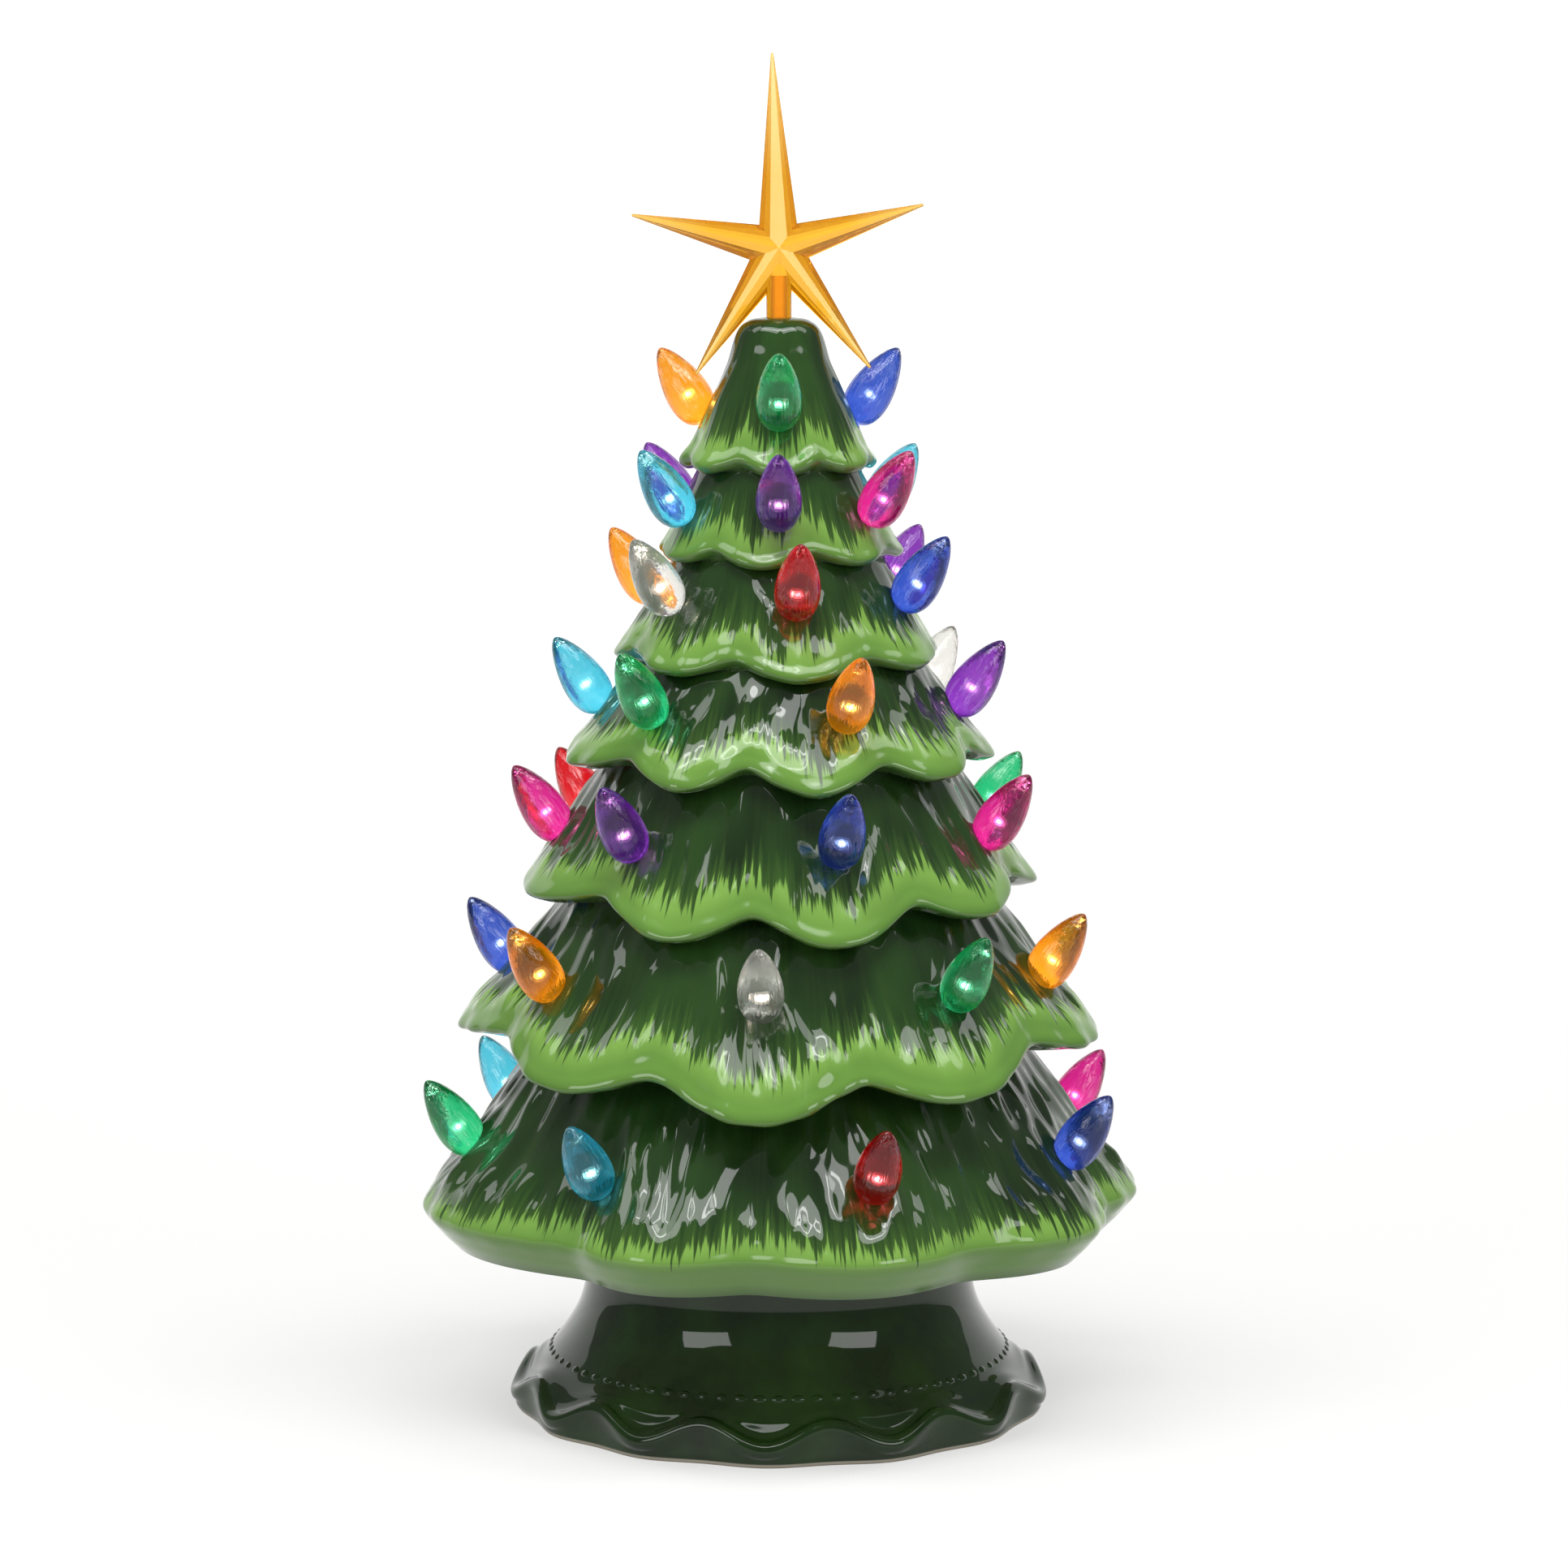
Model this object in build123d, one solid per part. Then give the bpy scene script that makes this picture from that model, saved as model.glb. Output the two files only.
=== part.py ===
from build123d import *
import os
from math import cos, radians, sin

# Ceramic christmas tree on a separate base, lit by a battery unit in the base.
# Millimetres, +Z up, the foot stands on z = 0, the front of the tree faces -Y.
# Azimuths are in degrees from the front, positive towards +X.

# Tiers of the tree from the top down: the widest point of each hem, and the neck where each skirt comes out
# from under the hem above it. The first entry of the necks is the rim of the flat top.
hem_radius = [27.4, 34.4, 46.0, 60.0, 72.2, 90.3, 101.5]
hem_height = [267.5, 243.5, 215.0, 187.5, 151.0, 109.0, 60.6]
neck_radius = [9.5, 23.6, 30.0, 41.6, 52.8, 62.8, 74.5]
neck_height = [304.7, 262.5, 238.6, 208.0, 175.0, 139.0, 90.0]
lobe_depth = 0.08
lobe_droop = [3.0, 3.8, 4.8, 6.5, 7.8, 7.2, 0.0]
curve_points = 72
hem_thickness = 5.0
skirt_bell = 1.2
top_round = 2.0
top_rise = 1.0
tree_floor = 50.2
tree_wall = 5.0
neck_wall = 8.0
hem_wall = 6.8

# Valleys between the lobes of each hem, by azimuth: the lobes were shaped by hand and differ in width
lobe_valleys = [
    [-128, -77, -26, 26, 77, 128, 180],
    [-137, -86, -34, 17, 69, 120, 171],
    [-120, -68, -17, 35, 86, 138, 189],
    [-105, -48, -9, 31, 71, 111, 151, 203],
    [-104, -46, -6, 34, 74, 114, 154, 204],
    [-125, -64, -24, 16, 56, 96, 140, 187],
    [-104, -38, -5, 35, 75, 115, 160, 208],
]

# Shares that shape a hem: its lip starts this far in and up in lip thicknesses, and its underside runs
# this far in and down towards the neck of the next tier
skirt_steps = [0, 0.3, 0.6]
lip_in, lip_up, lip_share = 0.4, 0.8, 0.95
under_in, under_down = 0.2, 0.35
foot_round, foot_in = 0.35, 0.85

# Base
seat_gap = 0.2
seat_width = 6.6
flare_top = 36.0
flare_out = 8.4
flare_foot_height = 19.5
bead_out = 0.4
bead_sink = 1.14
bead_ring_height = 15.2
bead_radius = 1.9
ruffle_waves = 11
ruffle_azimuth = -5.8
ruffle_width = 10.6
ruffle_root = 1.0
root_drop = 0.5
lip_swing = 2.0
lip_height = 9.6
lip_dip = 1.8
rim_in = 2.2
rim_up = 1.6
dish_up = 1.4
foot_under = 1.0
foot_swing = 1.2
foot_ring_width = 7.2
base_wall = 5.0
skirt_hollow_height = 24.0
shoulder_round = 1.5
collar_clearance = 0.8
collar_wall = 4.0
collar_height = 7.0

# Star: its middle stands star_height above the flat top of the tree
star_height = 19.5
star_tilt = 2.0
star_top_arm = 53.2
star_arm = 41.5
star_side_angle = 14.5
star_low_angle = -54.5
star_half_width = 5.9
star_half_depth = 4.6
star_band = 0.42
star_shoulder = 0.78
star_tip = 0.35
star_stem_radius = 3.5
star_stem_bore = 2.1
star_stem_depth = 12.0
star_stem_top = 5.0
star_bore_top = 2.6
star_fit = 0.2

# Bulbs: one list for each tier, azimuth and colour
bulb_radius = 6.2
bulb_length = 23.0
bulb_neck_radius = 3.2
bulb_tip_radius = 0.6
bulb_sides = 8
bulb_standoff = 2.2
bulb_stem_length = 7.0
bulb_fit = 0.15
bulb_rise = 56.0
bulb_place = [0.72, 0.6, 0.46, 0.46, 0.46, 0.46, 0.46]
bulb_profile = [(0.12, 0.74), (0.3, 1.0), (0.53, 0.84), (0.8, 0.44)]
bulb_layout = [
    [(0, "green"), (-110, "amber"), (110, "blue")],
    [(-61, "aqua"), (0, "violet"), (57, "pink"), (117, "aqua"), (-120, "violet"), (180, "green")],
    [(-110, "amber"), (-52, "clear"), (7, "red"), (67, "blue"), (127, "violet"), (187, "pink")],
    [(-92, "aqua"), (-43, "green"), (21, "amber"), (83, "violet"), (127, "clear"), (172, "red"),
     (-138, "blue")],
    [(-85, "pink"), (-40, "violet"), (15, "blue"), (68, "pink"), (112, "green"), (157, "amber"),
     (-158, "clear"), (-121, "red")],
    [(-95, "blue"), (-56, "amber"), (-3.5, "clear"), (39.5, "green"), (74, "amber"), (133, "violet"),
     (176, "aqua"), (-138, "red")],
    [(-77, "green"), (-120, "aqua"), (-34, "aqua"), (16.6, "red"), (65, "blue"), (110, "pink"),
     (154, "clear"), (-162, "amber")],
]

# Light unit in the base
housing_room = 18.65
housing_wall = 2.0
housing_clearance = 3.8
housing_gap = 0.3
floor_height = 2.6
floor_thickness = 2.0
floor_gap = 0.6
deck_height = 25.0
deck_thickness = 2.0
deck_gap = 0.3
boss_radius = 3.6
boss_inset = 3.0
boss_count = 3
boss_azimuth = 60.0
screw_radius = 1.4
screw_head_radius = 2.6
screw_head_height = 1.8
screw_length = 9.0
screw_fit = 0.05
screw_slot = 0.7
screw_reach = 0.9
board_gap = 1.2
board_thickness = 1.6
led_count = 6
led_inset = 11.0
led_size = 3.4
led_height = 1.8
dome_clearance = 12.2
dome_wall = 1.8
dome_height = 46.0
dome_flange = 4.0
dome_flange_thickness = 2.0

# Cells and their bay
cell_radius = 7.25
cell_length = 49.5
cell_nub_radius = 2.7
cell_nub_length = 1.0
cell_gap = 0.8
cell_count = 3
cell_lift = 0.4
contact_thickness = 0.6
contact_width = 11.0
contact_height = 12.0
bay_wall = 1.5

# Door under the cells
door_gap = 0.4
hinge_radius = 2.2
hinge_pin_radius = 1.0
hinge_fit = 0.05
knuckle_length = 10.0
knuckle_gap = 0.3

# Slide switch
switch_gap = 6.15
switch_length = 13.0
switch_width = 6.0
switch_height = 5.0
switch_travel = 4.0
knob_length = 4.0
knob_width = 3.0
knob_drop = 1.2
knob_gap = 0.3
knob_stem = 2.0

# Heights and lengths that several pieces share
tree_top = neck_height[0] + top_rise
seat_height = tree_floor - seat_gap
base_ceiling = seat_height - base_wall
floor_top = floor_height + floor_thickness
deck_top = deck_height + deck_thickness
cell_reach = (cell_length + cell_nub_length) / 2
cell_pitch = 2 * cell_radius + cell_gap
cell_height = floor_top + cell_lift + cell_radius
bay_half_length = cell_reach + contact_thickness
bay_half_width = (cell_count * cell_pitch + cell_gap) / 2
switch_place = -(bay_half_width + bay_wall + switch_gap + switch_width / 2)
hinge_y = bay_half_length + bay_wall + door_gap + hinge_radius
hinge_z = floor_height + hinge_radius
doorway_end = hinge_y + hinge_radius + door_gap

# Radii that follow from the cells outward: tub, base, collar, opening of the tree; then inward to the dome
housing_radius = bay_half_length + bay_wall + housing_room
boss_circle = housing_radius - housing_wall - boss_inset
neck_of_base_radius = housing_radius + housing_clearance + base_wall
collar_radius = neck_of_base_radius - seat_width
tree_opening_radius = collar_radius + collar_clearance
base_hole_radius = collar_radius - collar_wall
flare_foot_radius = neck_of_base_radius + flare_out
bead_ring_radius = flare_foot_radius + bead_out
lip_radius = bead_ring_radius + ruffle_width
foot_radius = lip_radius - foot_under
foot_inner_radius = foot_radius - foot_ring_width
dome_radius = base_hole_radius - dome_clearance
board_radius = dome_radius - dome_wall - board_gap
led_circle = board_radius - led_inset
star_middle = tree_top + star_height


def polar(radius, azimuth, height):
    return Vector(radius * sin(radians(azimuth)), -radius * cos(radians(azimuth)), height)


def turned(profile):
    """Closed polygon of (radius, height) turned about the Z axis."""
    return revolve(Plane.XZ * make_face(Polyline(*profile, close=True)), Axis.Z)


def ring(outer, inner, low, high):
    return turned([(inner, low), (outer, low), (outer, high), (inner, high)])


def disc(radius, low, high):
    return Pos(0, 0, low) * Cylinder(radius, high - low, align=(Align.CENTER, Align.CENTER, Align.MIN))


def block(x0, x1, y0, y1, z0, z1):
    corner = (Align.MIN, Align.MIN, Align.MIN)
    return Pos(x0, y0, z0) * Box(x1 - x0, y1 - y0, z1 - z0, align=corner)


def lobe_swell(index, azimuth):
    """0 in a valley between two lobes of a hem, 1 at the tip of a lobe."""
    valleys = lobe_valleys[index]
    for start, end in zip(valleys, valleys[1:] + [valleys[0] + 360]):
        turn = (azimuth - start) % 360
        if turn <= end - start:
            return sin(radians(180 * turn / (end - start)))


def lobed_wire(index, radius, height, share):
    """Closed curve round one tier: lobes with tight valleys, whose tips are farther out and lower.

    share is how much of the lobes shows, from none at the neck to all of them at the hem.
    """
    points = []
    for step in range(curve_points):
        azimuth = 360.0 * step / curve_points
        swell = lobe_swell(index, azimuth)
        inward = 1 - share * lobe_depth * (1 - swell)
        points.append(polar(radius * inward, azimuth, height - share * lobe_droop[index] * swell))
    return Wire([Edge.make_spline(points, periodic=True)])


def tier_curves(index):
    """Curves down one bell-shaped skirt, round its hem and in under it."""
    hem, low = hem_radius[index], hem_height[index]
    neck, high = neck_radius[index], neck_height[index]
    drop = high - low
    edge = min(hem_thickness, drop / 5)
    curves = []
    for t in skirt_steps:
        radius = neck + (hem - neck) * t ** skirt_bell
        curves.append(lobed_wire(index, radius, high - drop * t, t))
    curves.append(lobed_wire(index, hem - lip_in * edge, low + lip_up * edge, lip_share))
    curves.append(lobed_wire(index, hem, low, 1))
    if index + 1 < len(hem_radius):
        inward, down = hem - neck_radius[index + 1], low - neck_height[index + 1]
        curves.append(lobed_wire(index, hem - under_in * inward, low - under_down * down, 1))
    return curves


def tree_outside():
    """One skin through all the tiers, from the rim of the flat top to the flat floor."""
    last = len(hem_radius) - 1
    curves = [lobed_wire(0, neck_radius[0] - top_round, tree_top, 0)]
    for index in range(len(hem_radius)):
        curves += tier_curves(index)
    foot = hem_height[last] - tree_floor
    curves.append(lobed_wire(last, hem_radius[last] - foot_round * foot, tree_floor + foot / 2, 1))
    curves.append(lobed_wire(last, hem_radius[last] - foot_in * foot, tree_floor, 1))
    return Solid.make_loft(curves, ruled=True)


def tree_hollow():
    """Inside of the casting: it follows the necks and hems at the wall's thickness."""
    inner_floor = tree_floor + tree_wall
    profile = [(0, inner_floor)]
    for index in reversed(range(len(hem_radius))):
        valley = hem_radius[index] * (1 - lobe_depth)
        foot = max(hem_height[index], inner_floor + 1)
        if index == len(hem_radius) - 1:
            profile.append((valley - hem_wall - tree_wall, inner_floor))
        profile.append((valley - hem_wall, foot))
        if index > 0:
            profile.append((neck_radius[index] - neck_wall, neck_height[index]))
    profile.append((neck_radius[0] - tree_wall, tree_top - tree_wall))
    profile.append((0, tree_top - tree_wall))
    return turned(profile)


def bulb_line(index, azimuth):
    """Axis of a bulb, through the middle of its tier's skirt and leaning outward."""
    drop = neck_height[index] - hem_height[index]
    height = neck_height[index] - bulb_place[index] * drop
    radius = neck_radius[index] + bulb_place[index] * (hem_radius[index] - neck_radius[index])
    inside = polar(radius - 2 * tree_wall * cos(radians(bulb_rise)), azimuth,
                   height - 2 * tree_wall * sin(radians(bulb_rise)))
    lean = polar(cos(radians(bulb_rise)), azimuth, sin(radians(bulb_rise)))
    return Axis(inside, lean)


def bulb_seats(outside):
    """Where each bulb's axis leaves the glaze: colour and a plane whose Z is the bulb's axis."""
    seats = []
    for index, row in enumerate(bulb_layout):
        for azimuth, colour in row:
            line = bulb_line(index, azimuth)
            hits = [hit[0] for hit in outside.find_intersection_points(line)]
            ahead = [hit for hit in hits if (hit - line.position).dot(line.direction) > 0]
            nearest = min(ahead, key=lambda hit: (hit - line.position).length)
            seats.append((colour, Plane(nearest, z_dir=line.direction)))
    return seats


def bulb():
    """Flame-shaped ribbed bulb on its stem, Z along the axis, z = 0 at the glaze."""
    rings = [(-bulb_stem_length, bulb_neck_radius), (bulb_standoff, bulb_neck_radius)]
    rings += [(bulb_standoff + along * bulb_length, out * bulb_radius) for along, out in bulb_profile]
    rings.append((bulb_standoff + bulb_length, bulb_tip_radius))
    sections = [Pos(0, 0, height) * RegularPolygon(radius, bulb_sides) for height, radius in rings]
    return loft(sections, ruled=True)


def tree_and_bulbs():
    """The casting with its hollow, floor opening, star hole and bulb holes, and the bulbs by colour."""
    outside = tree_outside()
    seats = bulb_seats(outside)
    drill_length = 4 * tree_wall
    drill = Pos(0, 0, -drill_length / 2) * Cylinder(bulb_neck_radius + bulb_fit, 2 * drill_length)
    cuts = [plane.location * drill for colour, plane in seats]
    cuts.append(tree_hollow())
    cuts.append(disc(tree_opening_radius, tree_floor - 1, tree_floor + 2 * tree_wall))
    cuts.append(disc(star_stem_radius + star_fit, tree_top - 4 * tree_wall, tree_top + 1))
    one_bulb = bulb()
    bulbs = {}
    for colour, plane in seats:
        bulbs.setdefault(colour, []).append(plane.location * one_bulb)
    return outside - cuts, bulbs


def base_shell():
    """Waisted neck with a concave flare, bead ring, ruffled skirt and a locating collar."""
    neck = neck_of_base_radius
    core = bead_ring_radius - bead_sink
    with BuildSketch(Plane.XZ) as section:
        with BuildLine():
            Polyline((0, 0), (0, seat_height), (neck - shoulder_round, seat_height),
                     (neck, seat_height - shoulder_round), (neck, flare_top))
            Spline((neck, flare_top), (flare_foot_radius, flare_foot_height), tangents=[(0, -1), (1, -0.75)])
            Polyline((flare_foot_radius, flare_foot_height), (core, bead_ring_height + bead_radius),
                     (core, 0), (0, 0))
        make_face()
    body = revolve(section.sketch, Axis.Z)
    body += [Pos(0, 0, bead_ring_height) * Torus(bead_ring_radius, bead_radius), ruffle(),
             disc(collar_radius, base_ceiling, seat_height + collar_height)]
    hollow_radius = neck - base_wall
    hollow = turned([(0, -1), (foot_inner_radius, -1), (foot_inner_radius, 0),
                     (hollow_radius, skirt_hollow_height), (hollow_radius, base_ceiling), (0, base_ceiling)])
    return body - [hollow, disc(base_hole_radius, base_ceiling - 1, seat_height + collar_height + 1)]


def ruffle_wire(radius, swing, height, dip):
    """Closed smooth wave; where it swings out it also dips."""
    points = []
    steps = 4 * ruffle_waves
    for step in range(steps):
        azimuth = ruffle_azimuth + 360.0 * step / steps
        wave = cos(radians(ruffle_waves * (azimuth - ruffle_azimuth)))
        points.append(polar(radius + swing * wave, azimuth, height - dip * wave))
    return Wire([Edge.make_spline(points, periodic=True)])


def ruffle():
    inside = bead_ring_radius - ruffle_root
    sections = [
        ruffle_wire(foot_radius, foot_swing, 0, 0),
        ruffle_wire(lip_radius, 0.8 * lip_swing, 0.45 * lip_height, 0.2 * lip_dip),
        ruffle_wire(lip_radius, lip_swing, lip_height, lip_dip),
        ruffle_wire(lip_radius - rim_in, lip_swing, lip_height + rim_up, lip_dip),
        ruffle_wire(0.5 * (lip_radius + inside), 0.5 * lip_swing, lip_height + dish_up, 0.5 * lip_dip),
        ruffle_wire(inside, 0, bead_ring_height - root_drop, 0),
    ]
    return Solid.make_loft(sections)


def star_arm_solid(length, angle):
    """Eight-sided spike: a ridged light band in front and behind, bevels to the edges."""
    ridge = star_half_depth
    shoulder = star_shoulder * star_half_depth
    band = star_band * star_half_width
    wide = star_half_width
    outline = [(wide, 0), (band, shoulder), (0, ridge), (-band, shoulder),
               (-wide, 0), (-band, -shoulder), (0, -ridge), (band, -shoulder)]
    shrink = star_tip / star_half_width
    root = make_face(Polyline(*outline, close=True))
    tip = make_face(Polyline(*[(x * shrink, y * shrink) for x, y in outline], close=True))
    arm = loft([root, Pos(0, 0, length) * tip], ruled=True)
    return Rot(0, 90 - angle, 0) * arm


def star_topper():
    """Five spikes in the XZ plane on a round stem with a blind bore."""
    angles = [(90, star_top_arm), (star_side_angle, star_arm), (180 - star_side_angle, star_arm),
              (star_low_angle, star_arm), (180 - star_low_angle, star_arm)]
    arms = [star_arm_solid(length, angle) for angle, length in angles]
    star = Pos(0, 0, star_middle) * Rot(0, -star_tilt, 0) * (Part() + arms)
    stem_foot = tree_top - star_stem_depth
    star += disc(star_stem_radius, stem_foot, star_middle - star_stem_top)
    cone_top = star_middle - star_stem_top
    cone = Cone(star_stem_radius, star_stem_radius / 2, star_stem_top)
    star += Pos(0, 0, cone_top + star_stem_top / 2) * cone
    bore_top = cone_top - star_bore_top
    return star - disc(star_stem_bore, stem_foot - 1, bore_top)


def boss_places():
    return [polar(boss_circle, boss_azimuth + 360.0 * index / boss_count, 0) for index in range(boss_count)]


def cell_places():
    return [(index - (cell_count - 1) / 2) * cell_pitch for index in range(cell_count)]


def rod_along_x(radius, x0, x1):
    """Round rod on the hinge line of the door."""
    return Pos((x0 + x1) / 2, hinge_y, hinge_z) * Rot(0, 90, 0) * Cylinder(radius, x1 - x0)


def lamp_housing():
    """Round tub with a floor, the bay for the cells, screw bosses, hinge knuckles and a switch slot."""
    wide = bay_half_width
    far = bay_half_length + bay_wall
    tub = ring(housing_radius, housing_radius - housing_wall, floor_height, base_ceiling - housing_gap)
    tub += disc(neck_of_base_radius - base_wall - floor_gap, floor_height, floor_top)
    tub += block(-wide - bay_wall, wide + bay_wall, -far, far, floor_height, cell_height + cell_radius / 2)
    boss = disc(boss_radius, floor_height, deck_height)
    tub = tub + [Pos(place.X, place.Y, 0) * boss for place in boss_places()]
    slot = (knob_length + switch_travel) / 2 + knob_gap
    side = knob_width / 2 + knob_gap
    pilot = disc(screw_radius + screw_fit, deck_height - screw_length, deck_height + 1)
    tub -= [Pos(place.X, place.Y, 0) * pilot for place in boss_places()]
    tub -= [block(-wide, wide, -bay_half_length, bay_half_length, floor_top, deck_height),
            block(-wide, wide, -bay_half_length, doorway_end, floor_height - 1, floor_top + door_gap),
            block(switch_place - side, switch_place + side, -slot, slot, floor_height - 1, floor_top + 1)]
    for x0, x1 in [(-wide, knuckle_length - wide), (wide - knuckle_length, wide)]:
        tub += [rod_along_x(hinge_radius, x0, x1),
                block(x0, x1, hinge_y, doorway_end + 1, floor_height, floor_top)]
    return tub - rod_along_x(hinge_pin_radius, -wide, wide)


def battery_door():
    """Flat door with one long knuckle between the two of the tub, and a finger groove at the free end."""
    wide = bay_half_width - door_gap
    inner = bay_half_width - knuckle_length - knuckle_gap
    near, far = door_gap - bay_half_length, hinge_y - hinge_radius - door_gap
    plate = block(-wide, wide, near, far, floor_height, floor_top)
    plate += block(-inner, inner, -hinge_radius, hinge_y, floor_height, floor_top)
    plate += rod_along_x(hinge_radius, -inner, inner)
    groove_y = 6 * door_gap - bay_half_length + hinge_radius
    groove = Pos(0, groove_y, floor_height) * Rot(0, 90, 0) * Cylinder(hinge_radius / 2, inner)
    return plate - [rod_along_x(hinge_pin_radius + hinge_fit, -wide, wide), groove]


def lamp_deck():
    deck = disc(housing_radius - housing_wall - deck_gap, deck_height, deck_top)
    return deck - [Pos(place.X, place.Y, 0) * disc(screw_radius + screw_fit, deck_height - 1, deck_top + 1)
                   for place in boss_places()]


def deck_screws():
    screw = disc(screw_radius, deck_height - screw_reach * screw_length, deck_top)
    screw += disc(screw_head_radius, deck_top, deck_top + screw_head_height)
    screw -= block(-screw_head_radius, screw_head_radius, -screw_slot / 2, screw_slot / 2,
                   deck_top + screw_head_height / 2, deck_top + 2 * screw_head_height)
    return [Pos(place.X, place.Y, 0) * screw for place in boss_places()]


def leds():
    board_top = deck_top + board_thickness
    half = led_size / 2
    places = [polar(led_circle, 360.0 * index / led_count, 0) for index in range(led_count)]
    lamp = block(-half, half, -half, half, board_top, board_top + led_height)
    return [Pos(place.X, place.Y, 0) * lamp for place in places]


def round_top(radius, low, crown):
    """Cylinder from low to crown with half a ball on it."""
    ball = Pos(0, 0, crown) * Sphere(radius)
    return disc(radius, low, crown) + (ball - disc(2 * radius, crown - 2 * radius, crown))


def diffuser_dome():
    """Cylinder with a round crown on a flange, one wall thick."""
    crown = deck_top + dome_height - dome_radius
    flange = disc(dome_radius + dome_flange, deck_top, deck_top + dome_flange_thickness)
    inside = round_top(dome_radius - dome_wall, deck_top - 1, crown)
    return round_top(dome_radius, deck_top, crown) + flange - inside


def battery_cells():
    """Cells along Y, every second one turned end for end."""
    can = Rot(-90, 0, 0) * disc(cell_radius, -cell_reach, cell_reach - cell_nub_length)
    can += Rot(-90, 0, 0) * disc(cell_nub_radius, cell_reach - 2 * cell_nub_length, cell_reach)
    return [Pos(x, 0, cell_height) * Rot(0, 0, 180 * (index % 2)) * can
            for index, x in enumerate(cell_places())]


def contact_plates():
    """One sheet contact at each end of each cell, against the wall of the bay."""
    half = contact_width / 2
    low = cell_height - contact_height / 2
    plates = []
    for x in cell_places():
        for y in (-bay_half_length, cell_reach):
            plates.append(block(x - half, x + half, y, y + contact_thickness, low, low + contact_height))
    return plates


def switch_body():
    """Slide switch on the floor of the tub, hollow under for the knob."""
    wide, long = switch_width / 2, switch_length / 2
    slot = (knob_length + switch_travel) / 2 + knob_gap
    side = knob_width / 2 + knob_gap
    body = block(switch_place - wide, switch_place + wide, -long, long, floor_top, floor_top + switch_height)
    return body - block(switch_place - side, switch_place + side, -slot, slot, floor_top - 1,
                        floor_top + knob_stem + knob_gap)


def switch_knob():
    """Knob at the off end of its slot; its grip has three grooves."""
    off = -switch_travel / 2
    wide, long = knob_width / 2, knob_length / 2
    knob = block(switch_place - wide, switch_place + wide, off - long, off + long,
                 floor_height - knob_drop, floor_top + knob_stem)
    groove = 0.2 * knob_drop
    cuts = []
    for step in (-1, 0, 1):
        y = off + step * knob_length / 4
        cuts.append(block(switch_place - wide, switch_place + wide, y - groove, y + groove,
                          floor_height - knob_drop, floor_height - knob_drop + 2 * groove))
    return knob - cuts


tree_shell, bulbs = tree_and_bulbs()
nodes = {
    "tree_shell": tree_shell,
    "base_shell": base_shell(),
    "star_topper": star_topper(),
    "lamp_housing": lamp_housing(),
    "lamp_deck": lamp_deck(),
    "deck_screws": Compound(children=deck_screws()),
    "led_board": disc(board_radius, deck_top, deck_top + board_thickness),
    "leds": Compound(children=leds()),
    "diffuser_dome": diffuser_dome(),
    "battery_cells": Compound(children=battery_cells()),
    "contact_plates": Compound(children=contact_plates()),
    "battery_door": battery_door(),
    "door_hinge_pin": rod_along_x(hinge_pin_radius, -bay_half_width, bay_half_width),
    "switch_body": switch_body(),
    "switch_knob": switch_knob(),
}
for colour, group in bulbs.items():
    nodes["bulbs_" + colour] = Compound(children=group)

os.makedirs("parts", exist_ok=True)
for name, shape in nodes.items():
    export_step(shape, f"parts/{name}.step")
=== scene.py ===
import math

import bpy
import numpy as np
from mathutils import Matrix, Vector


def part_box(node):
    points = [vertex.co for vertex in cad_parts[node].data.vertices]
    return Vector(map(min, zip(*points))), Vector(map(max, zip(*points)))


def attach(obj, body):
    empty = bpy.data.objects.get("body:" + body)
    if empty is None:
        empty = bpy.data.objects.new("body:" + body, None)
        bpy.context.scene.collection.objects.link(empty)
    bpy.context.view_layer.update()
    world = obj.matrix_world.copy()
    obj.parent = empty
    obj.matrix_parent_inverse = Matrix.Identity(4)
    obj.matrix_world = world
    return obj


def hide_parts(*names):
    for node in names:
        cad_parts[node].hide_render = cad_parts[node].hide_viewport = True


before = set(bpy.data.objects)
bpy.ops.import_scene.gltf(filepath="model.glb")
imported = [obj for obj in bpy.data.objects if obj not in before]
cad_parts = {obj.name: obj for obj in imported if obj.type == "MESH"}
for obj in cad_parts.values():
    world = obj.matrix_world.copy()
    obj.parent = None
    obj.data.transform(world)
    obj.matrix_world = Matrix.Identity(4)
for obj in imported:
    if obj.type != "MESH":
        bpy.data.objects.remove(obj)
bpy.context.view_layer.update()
mm = 0.001
rng = np.random.default_rng(24)  # one seeded source for every irregular line


def linear(hexText):
    # sRGB hex to the linear RGBA that shader sockets take
    parts = np.array([int(hexText[i:i + 2], 16) for i in (1, 3, 5)]) / 255
    flat = np.where(parts <= 0.04045, parts / 12.92, ((parts + 0.055) / 1.055) ** 2.4)
    return (*flat.tolist(), 1.0)


def addNode(material, kind, settings=None, inputs=None):
    # a node with its settings; an input is either a value or the output it is linked from
    tree = material.node_tree
    node = tree.nodes.new(kind)
    for name, value in (settings or {}).items():
        setattr(node, name, value)
    for name, value in (inputs or {}).items():
        if isinstance(value, bpy.types.NodeSocket):
            tree.links.new(value, node.inputs[name])
        else:
            node.inputs[name].default_value = value
    return node


def startMaterial(name):
    material = bpy.data.materials.new(name)
    material.use_nodes = True
    material.node_tree.nodes.clear()
    return material


def endMaterial(material, inputs):
    # Principled surface with these inputs, wired to the output
    shader = addNode(material, "ShaderNodeBsdfPrincipled", {}, inputs)
    addNode(material, "ShaderNodeOutputMaterial", {}, {"Surface": shader.outputs["BSDF"]})
    return material


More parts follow.
